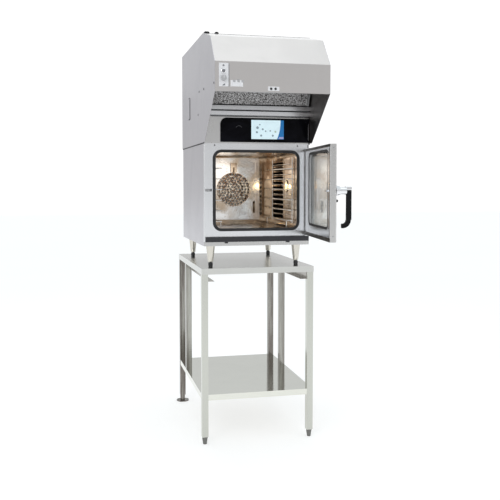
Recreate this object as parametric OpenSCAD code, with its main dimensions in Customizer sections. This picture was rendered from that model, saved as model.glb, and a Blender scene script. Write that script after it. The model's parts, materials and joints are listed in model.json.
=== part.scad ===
// Compact combi steamer on an open stand, with an extraction hood on top.
// Every module is drawn with the oven's front face at y = 0, its middle at x = 0 and the floor at z = 0.
// place() then moves the whole model so that its bounding box is centred over the origin.

/* [Stand] */
// Outer width of the stand top
stand_w = 586; // [560:1:620]
// Outer depth of the stand top
stand_d = 838; // [820:1:870]
// How far the stand top reaches in front of the oven
stand_front = 29; // [20:1:40]
// Height of the stand top above the floor
stand_h = 895; // [800:1:950]
// Height of the shelf above the floor
shelf_h = 255; // [200:1:400]
// Outside width of the square stand tubes
tube_w = 32; // [30:1:40]
// Height of the folded lips of the top and the shelf
lip_h = 30; // [25:1:40]

/* [Oven] */
// Width of the oven body
oven_w = 550; // [548:1:552]
// Depth of the oven body
oven_d = 726; // [720:1:730]
// Length of the oven's own legs
leg_h = 110; // [100:1:130]
// Width of the cooking cavity
cavity_w = 424; // [420:1:428]
// Height of the cooking cavity
cavity_h = 382; // [378:1:386]
// Depth of the cooking cavity
cavity_d = 590; // [585:1:595]
// Radius of the cavity's rounded corners
cavity_r = 30; // [20:1:34]
// Number of tray levels in each rack
rack_levels = 6; // [4:1:6]

/* [Door] */
// Width of the door
door_w = 540; // [536:1:542]
// Height of the door
door_h = 441; // [436:1:442]
// Thickness of the door
door_t = 32; // [30:1:36]
// Angle the door stands open at
door_open = 84.4; // [0:0.1:100]

/* [Hood] */
// Width of the hood
hood_w = 556; // [556:1:560]
// How far the hood reaches in front of the oven
hood_front = 320; // [280:1:340]
// How far the hood reaches behind the oven's front
hood_rear = 735; // [732:1:745]
// Height of the hood's front panel
hood_panel_h = 137; // [110:1:150]
// Diameter of the exhaust spigot
spigot_d = 150; // [120:1:160]

/* [Hidden] */
$fn = 48;
SHEET = 1.5;
GAP = 0.3;

// Heights above the floor, from the stand upwards
body_z = stand_h + leg_h;
strip_z0 = body_z + 21;
strip_z1 = body_z + 46;
frame_z0 = body_z + 21;
cavity_z0 = body_z + 89;
cavity_z1 = cavity_z0 + cavity_h;
frame_z1 = body_z + 517;
seam_z = body_z + 520;
casing_top = body_z + 651;
plenum_z = casing_top + 6;
lip_z = body_z + 737;
fold_z = lip_z + hood_panel_h;
brow_z = fold_z + 134;
roof_z = brow_z + 51;

// Oven body
hw = oven_w / 2;
cavity_cx = -3;
cx0 = cavity_cx - cavity_w / 2;
cx1 = cavity_cx + cavity_w / 2;
gasket_w = 14.5;
gasket_h = 8;
lining_y = 1.5;
back_y = cavity_d;
wall_out = cx1 + SHEET;
ins_t = 25;
fan_x = -18;
fan_z = cavity_z0 + 193;
baffle_y = 505;
guard_r = 96;
wheel_r = 92;
shaft_r = 8;
drain_y = 300;
drain_z = body_z + 44;
pipe_r = 16;
lamp_y = 195;
lamp_z = cavity_z0 + 212;
inlet_x = -180;
gland_x = 190;

// Door, drawn closed
door_gap = 8.5;
hinge_x = 261;
hinge_y = -17.5;
door_x1 = 273;
door_x0 = door_x1 - door_w;
door_in = -door_gap;
door_out = -door_gap - door_t;
door_z0 = body_z + 51;
door_z1 = door_z0 + door_h;
seal_x0 = door_x0 + 32;
seal_x1 = door_x1 - 80;
seal_z0 = door_z0 + 54;
seal_z1 = door_z1 - 22;
seal_w = 12;
seal_r = 36;
pin_r = 5;
lock_x = door_x0 + 24;
lock_z = body_z + 282;
flange_l = 19;
neck_l = 25;
grip_t = 29;

// Hood
hood_x = hood_w / 2;
hood_in = hood_x - SHEET;
brow_y = -hood_front + 112;
crown_y = 4;
skirt_y = -40;
filter_tilt = 25;
filter_l = 165;
filter_t = 20;
filter_x = 268;
filter_y = 8;
filter_z = plenum_z + 36;
fan_hub_y = 430;
drum_r = 140;

// Stand
sx = stand_w / 2;
sy0 = -stand_front;
sy1 = stand_d - stand_front;
post_x = sx - SHEET - tube_w / 2;
post_y0 = sy0 + SHEET + tube_w / 2;
post_y1 = sy1 - SHEET - tube_w / 2;
mid_y = post_y0 + 545;
foot_h = 38;
flange_r = 37.5;

// The box of the whole model in its own frame, which the origin is taken from
function turned(dx, dy, a) = [dx * cos(a) - dy * sin(a), dx * sin(a) + dy * cos(a)];
grip_end = turned(lock_x - hinge_x, door_out - flange_l - neck_l - grip_t - hinge_y, door_open);
edge_end = turned(door_x0 - hinge_x, door_out - hinge_y, door_open);
box_x0 = -post_x - flange_r;
box_x1 = hinge_x + grip_end[0] + 1;
box_y0 = hinge_y + edge_end[1];
box_y1 = post_y1 + flange_r;
origin_x = (box_x0 + box_x1) / 2;
origin_y = (box_y0 + box_y1) / 2;

// ---- helpers ----

module place() translate([-origin_x, -origin_y, 0]) children();

module door_place() place() translate([hinge_x, hinge_y, 0]) rotate([0, 0, door_open])
    translate([-hinge_x, -hinge_y, 0]) children();

module box(x, y, z) translate([x[0], y[0], z[0]]) cube([x[1] - x[0], y[1] - y[0], z[1] - z[0]]);

// A flat outline in x and z, given its thickness from y0 to y1
module along_y(y0, y1) translate([0, y1, 0]) rotate([90, 0, 0]) linear_extrude(y1 - y0) children();

// A flat outline in y and z, given its length from x0 to x1
module along_x(x0, x1) translate([x0, 0, 0]) rotate([90, 0, 90]) linear_extrude(x1 - x0) children();

module rod_x(x0, x1, y, z, r) translate([x0, y, z]) rotate([0, 90, 0]) cylinder(h = x1 - x0, r = r);

module rod_y(x, y0, y1, z, r) translate([x, y1, z]) rotate([90, 0, 0]) cylinder(h = y1 - y0, r = r);

module rod_z(x, y, z0, z1, r) translate([x, y, z0]) cylinder(h = z1 - z0, r = r);

module rounded(x0, x1, z0, z1, r) {
    translate([x0 + r, z0]) square([x1 - x0 - 2 * r, z1 - z0]);
    translate([x0, z0 + r]) square([x1 - x0, z1 - z0 - 2 * r]);
    for (x = [x0 + r, x1 - r], z = [z0 + r, z1 - r]) translate([x, z]) circle(r);
}

module ring(x0, x1, z0, z1, r, w) difference() {
    rounded(x0, x1, z0, z1, r);
    rounded(x0 + w, x1 - w, z0 + w, z1 - w, max(r - w, 4));
}

module mirrored() { children(); mirror([1, 0, 0]) children(); }

// ---- stand ----

module post(x, y, z0, z1) difference() {
    box([x - tube_w / 2, x + tube_w / 2], [y - tube_w / 2, y + tube_w / 2], [z0, z1]);
    box([x - tube_w / 2 + 2, x + tube_w / 2 - 2], [y - tube_w / 2 + 2, y + tube_w / 2 - 2], [z0 - 1, z1 + 1]);
}

module stand_posts() color("gainsboro") place() {
    for (x = [-post_x, post_x]) {
        for (y = [post_y0, post_y1]) post(x, y, foot_h, stand_h - SHEET);
        post(x, mid_y, shelf_h, stand_h - SHEET);
    }
}

module folded_sheet(x, y, z) difference() {
    box([-x, x], y, [z - lip_h, z]);
    box([-x + SHEET, x - SHEET], [y[0] + SHEET, y[1] - SHEET], [z - lip_h - 1, z - SHEET]);
}

module stand_top() color("silver") place() folded_sheet(sx, [sy0, sy1], stand_h);

module stand_shelf() color("silver") place() difference() {
    folded_sheet(post_x + tube_w / 2 - 1, [sy0 + SHEET + 1, sy1 - SHEET - 1], shelf_h);
    for (x = [-post_x, post_x], y = [post_y0, post_y1])
        box([x, x] + [-1, 1] * tube_w / 2, [y, y] + [-1, 1] * tube_w / 2, [shelf_h - lip_h - 1, shelf_h + 1]);
}

module tray_runners() color("silver") place() mirrored() {
    x = post_x - tube_w / 2 - GAP;
    box([x - SHEET, x], [sy0 + 12, mid_y - 20], [stand_h - 67, stand_h - SHEET]);
    box([x - 34, x - SHEET], [sy0 + 12, mid_y - 20], [stand_h - 67, stand_h - 67 + SHEET]);
}

module levelling_feet() color("dimgray") place() for (x = [-post_x, post_x]) {
    translate([x, post_y0, 6]) cylinder(h = foot_h - 6, r1 = 10, r2 = tube_w / 2 - 1);
    rod_z(x, post_y0, 0, 6, 10);
}

module flanged_feet() color("lightgray") place() for (x = [-post_x, post_x]) difference() {
    union() {
        rod_z(x, post_y1, 0, 5, flange_r);
        translate([x, post_y1, 5]) cylinder(h = foot_h - 5, r1 = 14, r2 = tube_w / 2 - 1);
    }
    for (d = [-26, 26]) rod_z(x + d, post_y1, -1, 6, 4.5);
}

// ---- oven body ----

leg_x = 228;
leg_y = [80, 665];

module oven_legs() color("silver") place() for (x = [-leg_x, leg_x], y = leg_y) {
    translate([x, y, stand_h + 24]) cylinder(h = leg_h - 29, r1 = 14, r2 = 23);
    rod_z(x, y, body_z - 5, body_z, 26);
}

module oven_leg_tips() color("dimgray") place() for (x = [-leg_x, leg_x], y = leg_y) {
    translate([x, y, stand_h]) cylinder(h = 5, r1 = 10, r2 = 11.5);
    rod_z(x, y, stand_h + 5, stand_h + 19, 11.5);
    rod_z(x, y, stand_h + 19, stand_h + 24, 8);
}

module base_pan() color("silver") place() difference() {
    box([-hw + SHEET, hw - SHEET], [0, oven_d - 3], [body_z, body_z + 20]);
    box([-hw + 2 * SHEET, hw - 2 * SHEET], [SHEET, oven_d - 4.5], [body_z + SHEET, body_z + 21]);
}

module side_panels() color("lightgray") place() mirrored() difference() {
    box([hw - SHEET, hw], [0, oven_d - SHEET], [body_z, frame_z1]);
    box([hw - 2, hw + 1], [-1, 12], [frame_z0, frame_z1 + 1]);
}

strike_x = [door_x0 - 1, lock_x + 8];

module front_frame() color("whitesmoke") place() difference() {
    translate([0, 0, frame_z0]) linear_extrude(frame_z1 - frame_z0) {
        translate([-hw + 6, 0]) square([oven_w - 12, SHEET]);
        for (s = [-1, 1]) {
            translate([s * (hw - SHEET / 2) - SHEET / 2, 6]) square([SHEET, 6]);
            intersection() {
                translate([s * (hw - 6), 6]) difference() { circle(6); circle(6 - SHEET); }
                translate([s * (hw - 3) - 3, 0]) square(6);
            }
        }
    }
    along_y(-1, 3) rounded(cx0, cx1, cavity_z0, cavity_z1, cavity_r);
    box(strike_x, [-1, 3], [lock_z - 6.5, lock_z + 6.5]);
}

module rear_cover() color("lightgray") place() difference() {
    union() {
        box([-hw, hw], [oven_d - SHEET, oven_d], [body_z, frame_z1]);
        box([-hw + 20, hw - 20], [oven_d, oven_d + 6], [body_z + 130, frame_z1 - 20]);
    }
    box([-hw + 22, hw - 22], [oven_d - 2, oven_d + 4.5], [body_z + 132, frame_z1 - 22]);
    for (i = [0:9]) box([-110, 110], [oven_d, oven_d + 9], [body_z + 200, body_z + 206] + [1, 1] * 24 * i);
    rod_y(cavity_cx, oven_d - 5, oven_d + 5, drain_z, pipe_r + GAP);
    rod_y(inlet_x, oven_d - 5, oven_d + 5, body_z + 90, 13.3);
    rod_y(gland_x, oven_d - 5, oven_d + 5, body_z + 90, 12.3);
}

module upper_casing() color("silver") place() difference() {
    box([-hw + 3.5, hw - 3.5], [SHEET, oven_d], [frame_z1, casing_top]);
    box([-hw + 5, hw - 5], [0, oven_d - SHEET], [frame_z1 - 1, casing_top - SHEET]);
}

ins_z = [cavity_z0 - SHEET - ins_t, cavity_z1 + SHEET + ins_t];
ins_x = [cx0 - SHEET - ins_t, cx1 + SHEET + ins_t];

module insulation() color("khaki") place() difference() {
    box(ins_x, [20, back_y + SHEET + 35], ins_z);
    along_y(19, back_y + SHEET)
        rounded(cx0 - SHEET, wall_out, cavity_z0 - SHEET, cavity_z1 + SHEET, cavity_r + SHEET);
    rod_x(wall_out - 1, ins_x[1] + 1, lamp_y, lamp_z, 31);
    rod_y(fan_x, back_y, back_y + 60, fan_z, 16);
    for (a = [-20, 20])
        rod_y(fan_x + 108 * sin(a), back_y, back_y + 60, fan_z + 108 * cos(a), 6);
    rod_z(cavity_cx, drain_y, ins_z[0] - 1, cavity_z0, pipe_r + 2);
}

module cavity_liner() color("burlywood") place() difference() {
    along_y(lining_y, back_y + SHEET)
        rounded(cx0 - SHEET, wall_out, cavity_z0 - SHEET, cavity_z1 + SHEET, cavity_r + SHEET);
    along_y(0, back_y) rounded(cx0, cx1, cavity_z0, cavity_z1, cavity_r);
    rod_x(cx1 - 1, cx1 + 3, lamp_y, lamp_z, 28);
    rod_y(fan_x, back_y - 1, back_y + 3, fan_z, 12);
    for (a = [-20, 20])
        rod_y(fan_x + 108 * sin(a), back_y - 1, back_y + 3, fan_z + 108 * cos(a), 5);
    rod_z(cavity_cx, drain_y, cavity_z0 - 3, cavity_z0 + 1, pipe_r);
}

module door_gasket() color("black") place() {
    x = [cx0 - gasket_w, cx1 + gasket_w];
    z = [cavity_z0 - gasket_w, cavity_z1 + gasket_w];
    along_y(-4, 0) ring(x[0], x[1], z[0], z[1], cavity_r + gasket_w, gasket_w);
    along_y(-gasket_h, -4) ring(x[0] + 4, x[1] - 4, z[0] + 4, z[1] - 4, cavity_r + gasket_w - 4, 6);
}

baffle_x = [fan_x - 153, fan_x + 153];
baffle_z = [cavity_z0 + 20, cavity_z1 - 10];

module fan_baffle() color("tan") place() difference() {
    union() {
        along_y(baffle_y, baffle_y + SHEET) rounded(baffle_x[0], baffle_x[1], baffle_z[0], baffle_z[1], 8);
        for (x = [baffle_x[0], baffle_x[1] - SHEET])
            box([x, x + SHEET], [baffle_y + SHEET, back_y], [baffle_z[0] + 12, baffle_z[1] - 12]);
        for (x = [baffle_x[0] + 22, baffle_x[1] - 24])
            box([x, x + 2], [baffle_y - 3, baffle_y], [baffle_z[0] + 12, baffle_z[1] - 12]);
    }
    rod_y(fan_x, baffle_y - 5, baffle_y + 5, fan_z, guard_r - 5);
    along_y(baffle_y - 5, baffle_y + 5)
        rounded(baffle_x[1] - 39, baffle_x[1] - 26, baffle_z[0] + 38, baffle_z[0] + 106, 5);
    for (s = [-1, 1], i = [0:7]) translate([fan_x + s * (153 - SHEET / 2), 0, 0])
        box([-2, 2], [530, 575], [0, 26] + [1, 1] * (baffle_z[0] + 24 + 40 * i));
}

module fan_guard() color("rosybrown") place() difference() {
    union() {
        rod_y(fan_x, baffle_y - 8, baffle_y - 6, fan_z, guard_r - 3);
        difference() {
            rod_y(fan_x, baffle_y - 8, baffle_y, fan_z, guard_r);
            rod_y(fan_x, baffle_y - 9, baffle_y + 1, fan_z, guard_r - 3);
        }
    }
    for (r = [1:5], i = [0:r * 6 - 1])
        rod_y(fan_x + r * 17 * cos(60 * i / r), baffle_y - 9, baffle_y - 5, fan_z + r * 17 * sin(60 * i / r), 6);
}

wheel_y = [532, 572];

module fan_wheel() color("silver") place() difference() {
    union() {
        rod_y(fan_x, wheel_y[1] - 2, wheel_y[1], fan_z, wheel_r);
        rod_y(fan_x, wheel_y[0], wheel_y[1] - 2, fan_z, 20);
        for (a = [0:20:340]) translate([fan_x, 0, fan_z]) rotate([0, a, 0]) translate([74, 0, 0])
            rotate([0, 35, 0]) box([-12, 12], [wheel_y[0] + 2, wheel_y[1] - 1], [-1, 1]);
        difference() {
            rod_y(fan_x, wheel_y[0], wheel_y[0] + 3, fan_z, wheel_r);
            rod_y(fan_x, wheel_y[0] - 1, wheel_y[0] + 4, fan_z, 64);
        }
    }
    rod_y(fan_x, wheel_y[0] - 1, wheel_y[1] + 1, fan_z, shaft_r);
}

motor_y = [633, 712];

module fan_shaft() color("gray") place() rod_y(fan_x, wheel_y[0] - 6, motor_y[0] + 30, fan_z, shaft_r);

module fan_motor() color("steelblue") place() difference() {
    union() {
        rod_y(fan_x, motor_y[0], motor_y[1], fan_z, 52);
        box([fan_x - 80, fan_x + 80], [back_y + SHEET + 35, motor_y[0]], [fan_z - 70, fan_z + 70]);
        for (a = [0:30:330]) translate([fan_x, 0, fan_z]) rotate([0, a, 0])
            box([50, 56], [motor_y[0] + 4, motor_y[1] - 4], [-2, 2]);
    }
    rod_y(fan_x, back_y, motor_y[0] + 34, fan_z, shaft_r + 0.06);
}

module ring_heater() color("sienna") place() {
    for (y = [538, 552, 566]) translate([fan_x, y, fan_z]) rotate([90, 0, 0])
        rotate_extrude($fn = 96) translate([108, 0]) circle(4);
    for (a = [-20, 20])
        rod_y(fan_x + 108 * sin(a), 538, back_y + 40, fan_z + 108 * cos(a), 4.5);
    for (a = [90, 210, 330]) translate([fan_x, 0, fan_z]) rotate([0, a, 0])
        box([106, 110], [534, back_y], [-3, 3]);
}

module water_injector() color("tan") place() {
    box([fan_x - 17, fan_x + 17], [baffle_y - 14, baffle_y], [fan_z + guard_r + 1, baffle_z[1] - 28]);
    rod_y(fan_x, baffle_y - 17, baffle_y - 14, baffle_z[1] - 38, 6);
    rod_z(fan_x, baffle_y - 22, fan_z + guard_r - 14, fan_z + guard_r + 30, 4);
    rod_y(fan_x, baffle_y - 22, baffle_y - 14, fan_z + guard_r + 26, 4);
}

air_y = [238, 468];
air_z = [cavity_z0 + 31, cavity_z1 - 31];

module side_air_panel() color("tan") place() difference() {
    box([cx1 - 3, cx1], air_y, air_z);
    box([cx1 - SHEET, cx1 + 1], air_y + [2, -2], air_z + [2, -2]);
    for (i = [0:11])
        box([cx1 - 4, cx1 + 1], air_y + [9, -9], [5, 24] + [1, 1] * (air_z[0] + 26.1 * i));
}

rack_y = [34, 478];
rack_pitch = 54;
wire_r = 2.5;

module rack(s) {
    outer = s < 0 ? cx0 + 6.5 : cx1 - 6.5;
    inner = s < 0 ? outer + 31 : outer - 31;
    for (y = [rack_y[0] + 26, rack_y[1] - 14]) {
        rod_z(outer, y, cavity_z0 + 20, cavity_z1 - 20, 3);
        rod_z(inner, y, cavity_z0 + 1, cavity_z0 + 34, wire_r);
    }
    for (i = [0:rack_levels - 1]) {
        z = cavity_z0 + 34 + rack_pitch * i;
        for (x = [outer, inner]) rod_y(x, rack_y[0], rack_y[1], z, wire_r);
        for (y = rack_y) rod_x(min(outer, inner), max(outer, inner), y, z, wire_r);
        for (x = [outer, inner], y = rack_y) translate([x, y, z]) sphere(wire_r);
    }
}

module rack_left() color("white") place() rack(-1);
module rack_right() color("white") place() rack(1);

module cavity_lamp() color("gold") place() {
    difference() {
        rod_x(cx1 - 1, cx1 + 32, lamp_y, lamp_z, 27.5);
        rod_x(cx1 + 2, cx1 + 28, lamp_y, lamp_z, 24);
    }
    rod_x(cx1 + 6, cx1 + 24, lamp_y, lamp_z, 8);
    rod_x(cx1 + 24, cx1 + 28, lamp_y, lamp_z, 12);
}

module drain_pipe() color("silver") place() difference() {
    union() {
        rod_z(cavity_cx, drain_y, drain_z, cavity_z0 - SHEET, pipe_r - GAP);
        rod_y(cavity_cx, drain_y, oven_d, drain_z, pipe_r - GAP);
        rod_y(cavity_cx, oven_d, oven_d + 34, drain_z, pipe_r);
        translate([cavity_cx, drain_y, drain_z]) sphere(pipe_r - GAP);
    }
    rod_z(cavity_cx, drain_y, drain_z, cavity_z0 + 1, pipe_r - 2);
    rod_y(cavity_cx, drain_y, oven_d + 35, drain_z, pipe_r - 2);
}

// ---- controls ----

glass_x = [-191, hw - 3.5];
glass_z = [seam_z + 4, casing_top - 5];
lcd_x = [-32, 138];
lcd_z = [seam_z + 20, seam_z + 116];

module control_fascia() color("lightgray") place() difference() {
    box([-hw + 3.5, hw - 3.5], [0, SHEET], [frame_z1, casing_top]);
    box(lcd_x + [6, -6], [-1, 3], lcd_z + [6, -6]);
}

module control_glass() color([0.03, 0.03, 0.05]) place() difference() {
    along_y(-4, 0) {
        rounded(glass_x[0], glass_x[0] + 90, glass_z[0] + 30, glass_z[1], 33);
        rounded(glass_x[0], glass_x[1], glass_z[0], glass_z[1] - 40, 3);
        rounded(glass_x[0] + 50, glass_x[1], glass_z[0] + 30, glass_z[1], 3);
    }
    box(lcd_x, [-5, 1], lcd_z);
}

module touch_display() color("lightcyan") place() box(lcd_x, [-3.6, 0], lcd_z);

module control_board() color("seagreen") place() {
    box([-60, 166], [14, 16], [seam_z + 16, seam_z + 122]);
    for (x = [-40, 10, 60, 120]) box([x, x + 24], [16, 24], [seam_z + 40, seam_z + 70]);
    for (x = [-54, 160], z = [seam_z + 22, seam_z + 116]) rod_y(x, SHEET, 14, z, 3);
}

module drip_tray() color([0.1, 0.1, 0.11]) place() {
    difference() {
        box([-268, 270], [-16, -GAP], [strip_z0, strip_z1]);
        box([-266, 268], [-14, -2], [strip_z0 + 3, strip_z1 + 1]);
    }
    for (x = [-161, 161]) box([x - 7, x + 7], [-12, -2], [strip_z0 - 7, strip_z0]);
}

screw_x = [-220, 212];

module panel_screws() color("dimgray") place() {
    for (x = screw_x) rod_y(x, -2, 0, frame_z1 - 10, 4);
    for (s = [-1, 1]) {
        x = s * (hood_x + 1);
        for (p = [[-303, 1781], [-24, 1786], [116, 1789], [150, 1675]])
            rod_x(x - 1, x + 1, p[0], p[1] - 1005 + body_z, 5);
    }
}

module latch_strike() color("gray") place() difference() {
    box([strike_x[0] + 1, strike_x[1] + 14], [SHEET, 18], [lock_z - 26, lock_z + 26]);
    box([strike_x[0] + 2.5, strike_x[1] + 12], [0, 15], [lock_z - 24, lock_z + 24]);
}

module hinge_brackets() color("silver") place() for (top = [0, 1]) {
    z = top ? [door_z1 + 1, door_z1 + 5] : [door_z0 - 4, door_z0 - 1];
    along = top ? [z[1] - 26, z[0]] : [z[1], z[1] + 20];
    box([hinge_x - 14, hinge_x + 13], [hinge_y - 9, 0], z);
    rod_z(hinge_x, hinge_y, along[0], along[1], pin_r);
}

module water_inlet() color("goldenrod") place() difference() {
    union() {
        rod_y(inlet_x, oven_d - 40, oven_d - SHEET, body_z + 90, 20);
        rod_y(inlet_x, oven_d - SHEET, oven_d, body_z + 90, 12.9);
        rod_y(inlet_x, oven_d, oven_d + 18, body_z + 90, 13.2);
    }
    rod_y(inlet_x, oven_d - 60, oven_d + 19, body_z + 90, 9);
}

module cable_gland() color("black") place() difference() {
    union() {
        rod_y(gland_x, oven_d, oven_d + 22, body_z + 90, 15);
        rod_y(gland_x, oven_d - 14, oven_d, body_z + 90, 12);
    }
    rod_y(gland_x, oven_d - 15, oven_d + 23, body_z + 90, 7);
}

// ---- door, drawn closed and turned open by door_place() ----

out_x = [door_x0 + 74, door_x1 - 60];
out_z = [door_z0 + 44, door_z1 - 42];
wall = 2;

module door_shell() color("lightgray") door_place() difference() {
    union() {
        difference() {
            translate([0, 0, door_z0]) linear_extrude(door_h) rounded(door_x0, door_x1, door_out, door_in, 5);
            box([door_x0 + wall, door_x1 - wall], [door_out + wall, 0], [door_z0 + wall, door_z1 - wall]);
        }
        for (z = [door_z0 + wall, door_z1 - wall - 24])
            box([hinge_x - 12, hinge_x + 10], [door_out + wall, door_in - 3.2], [z, z + 24]);
    }
    along_y(door_out - 1, door_out + wall + 1) rounded(out_x[0], out_x[1], out_z[0], out_z[1], 20);
    rod_z(hinge_x, hinge_y, door_z0 - 1, door_z1 + 1, pin_r + 0.06);
    rod_y(lock_x, door_out - 1, door_out + 3, lock_z, pin_r + 0.06);
}

module door_inner_frame() color("whitesmoke") door_place() difference() {
    box([door_x0 + wall, door_x1 - wall], [door_in - 3, door_in], [door_z0 + wall, door_z1 - wall]);
    along_y(door_in - 5, door_in + 1) rounded(seal_x0, seal_x1, seal_z0, seal_z1, seal_r);
    rod_y(lock_x, door_in - 5, door_in + 1, lock_z, pin_r + 0.06);
}

module door_glass_seal() color("black") door_place()
    along_y(door_in - 6, door_in) ring(seal_x0, seal_x1, seal_z0, seal_z1, seal_r, seal_w);

module door_inner_glass() color("paleturquoise", 0.5) door_place() along_y(door_in - 6, door_in - 1)
    rounded(seal_x0 + seal_w, seal_x1 - seal_w, seal_z0 + seal_w, seal_z1 - seal_w, seal_r - seal_w);

module door_outer_glass() color("powderblue", 0.5) door_place() along_y(door_out + wall, door_out + wall + 5)
    rounded(out_x[0] - 12, out_x[1] + 12, out_z[0] - 12, out_z[1] + 12, 26);

module handle_flange() color("silver") door_place() difference() {
    translate([lock_x, door_out, lock_z]) rotate([90, 0, 0]) cylinder(h = flange_l, r1 = 26, r2 = 21);
    rod_y(lock_x, door_out - flange_l - 1, door_out + 1, lock_z, pin_r + 0.06);
}

neck_y = [door_out - flange_l - neck_l, door_out - flange_l - 0.3];
grip_top = lock_z + 20;
grip_z = lock_z + 2;

module handle_neck() color("silver") door_place() {
    rod_y(lock_x, neck_y[0] - 4.7, neck_y[1], lock_z, 17.5);
    rod_y(lock_x, neck_y[1], 3, lock_z, pin_r);
    along_y(neck_y[0] - grip_t, neck_y[0]) rounded(lock_x - 10, lock_x + 10, grip_z + 0.3, grip_top, 5);
}

grip_l = 133;

module handle_grip() color("black") door_place() {
    out = neck_y[0] - grip_t;
    bend_z = grip_z - grip_l;
    translate([0, 0, bend_z]) linear_extrude(grip_l)
        rounded(lock_x - 10, lock_x + 10, out, neck_y[0] - 5, 5);
    translate([lock_x, neck_y[0] + 12, bend_z]) rotate([90, 0, 90])
        rotate_extrude(angle = 90, start = 180, $fn = 64) translate([27, 0]) square(20, center = true);
    box([lock_x - 10, lock_x + 10], [neck_y[0] + 12, neck_y[0] + 16], [bend_z - 37, bend_z - 17]);
}

module latch_hook() color("gray") door_place() difference() {
    along_y(3, 8) rounded(lock_x - 20, lock_x + 5, lock_z - 4.5, lock_z + 4.5, 4);
    rod_y(lock_x - 14, 2, 9, lock_z, 1.6);
}

// ---- hood ----

module side_outline() polygon([
    [-hood_front, lip_z], [-hood_front, fold_z], [brow_y, brow_z], [crown_y, roof_z],
    [hood_rear, roof_z], [hood_rear, seam_z], [skirt_y, seam_z]
]);

module hood_sides() color("lightsteelblue") place() {
    mirrored() along_x(hood_in, hood_x) side_outline();
    box([-hood_x - 3, -hood_x], [433, 592], [plenum_z + 15, plenum_z + 127]);
}

// Folded sheet along a path of points, its thickness on the right-hand side of the path
function normal(a, b) = let (d = (b - a) / norm(b - a)) [d[1], -d[0]];

function inner(p, i) = let (
    m = normal(p[max(i - 1, 0)], p[max(i, 1)])
        + normal(p[min(i, len(p) - 2)], p[min(i + 1, len(p) - 1)])
) p[i] + 2 * SHEET * m / (m * m);

module folded(p) polygon(concat(p, [for (i = [len(p) - 1:-1:0]) inner(p, i)]));

button_z = body_z + 829;
dial_z = body_z + 797;
plate_x = [-258, -214];
knob_x = -237;
plate_y = -hood_front;

// Holes for the button and the dial's spindle through the label plate and the front panel
module knob_holes() {
    rod_y(knob_x, plate_y - 3, plate_y + 5, button_z, 7.5);
    rod_y(knob_x, plate_y - 3, plate_y + 5, dial_z, 3.06);
}

module hood_canopy() color("darkgray") place() difference() {
    along_x(-hood_in, hood_in) folded([
        [-hood_front + 18, lip_z + 12], [-hood_front + 18, lip_z], [-hood_front, lip_z],
        [-hood_front, fold_z], [brow_y, brow_z], [crown_y, roof_z]
    ]);
    knob_holes();
}

module hood_roof() color("lightgray") place() difference() {
    union() {
        box([-hood_in, hood_in], [crown_y + 2 * GAP, hood_rear], [roof_z - SHEET, roof_z]);
        box([-hood_in, hood_in], [hood_rear - SHEET, hood_rear], [seam_z, roof_z]);
    }
    rod_z(0, fan_hub_y, roof_z - 3, roof_z + 1, spigot_d / 2);
}

module hood_floor() color("gray") place() {
    box([-hood_in, hood_in], [31, hood_rear - SHEET], [plenum_z, plenum_z + SHEET]);
    mirrored() box([hw - 40, hw - 6], [31, oven_d - 10], [casing_top, plenum_z]);
    box([-hood_in, hood_in], [-50, -48.5], [filter_z + 156, brow_z + 36]);
}

module grease_gutter() color("silver") place() along_x(-hood_in, hood_in) {
    z = plenum_z + 29;
    translate([-14, z]) square([SHEET, 20]);
    translate([-14, z]) square([44, SHEET]);
    translate([29.5, plenum_z]) square([SHEET, 49]);
    translate([-2, plenum_z + 2]) square([SHEET, 27]);
}

// Filter outline, leaning forward at the top
module lean() translate([0, filter_y, filter_z]) rotate([filter_tilt, 0, 0]) children();

module filter_frame() color("silver") place() lean() difference() {
    box([-filter_x, filter_x], [-filter_t / 2, filter_t / 2], [0, filter_l]);
    box([-filter_x + 10, filter_x - 10], [-filter_t, filter_t], [12, filter_l - 12]);
}

module filter_mesh() color("dimgray") place() lean()
    box([-filter_x + 10, filter_x - 10], [-7, 7], [12, filter_l - 12]);

wheel_z = [roof_z - 96, roof_z - 30];

module exhaust_wheel() color("gray") place() difference() {
    union() {
        rod_z(0, fan_hub_y, wheel_z[0], wheel_z[0] + 3, 110);
        rod_z(0, fan_hub_y, wheel_z[0], wheel_z[0] + 30, 18);
        for (a = [0:24:336]) translate([0, fan_hub_y, wheel_z[0]]) rotate([0, 0, a])
            translate([88, 0, 3]) rotate([0, 0, 40]) translate([-14, -1, 0]) cube([28, 2, 61]);
        difference() {
            rod_z(0, fan_hub_y, wheel_z[1] - 3, wheel_z[1], 110);
            rod_z(0, fan_hub_y, wheel_z[1] - 4, wheel_z[1] + 1, 76);
        }
    }
    rod_z(0, fan_hub_y, wheel_z[0] - 1, wheel_z[0] + 25, 6.06);
}

module exhaust_motor() color("steelblue") place() {
    rod_z(0, fan_hub_y, wheel_z[0] - 90, wheel_z[0] - 12, 45);
    rod_z(0, fan_hub_y, wheel_z[0] - 12, wheel_z[0] + 22, 6);
    box([-hood_in, hood_in], [fan_hub_y - 20, fan_hub_y + 20], [wheel_z[0] - 94, wheel_z[0] - 90]);
}

module exhaust_housing() color("silver") place() difference() {
    union() {
        rod_z(0, fan_hub_y, roof_z - 110, roof_z - SHEET, drum_r);
        rod_z(0, fan_hub_y, roof_z - SHEET, roof_z, spigot_d / 2 - 1);
        rod_z(0, fan_hub_y, roof_z, roof_z + 40, spigot_d / 2 - GAP);
    }
    rod_z(0, fan_hub_y, roof_z - 111, roof_z - 3, drum_r - 2);
    rod_z(0, fan_hub_y, roof_z - 4, roof_z + 41, spigot_d / 2 - 2);
}

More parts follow.
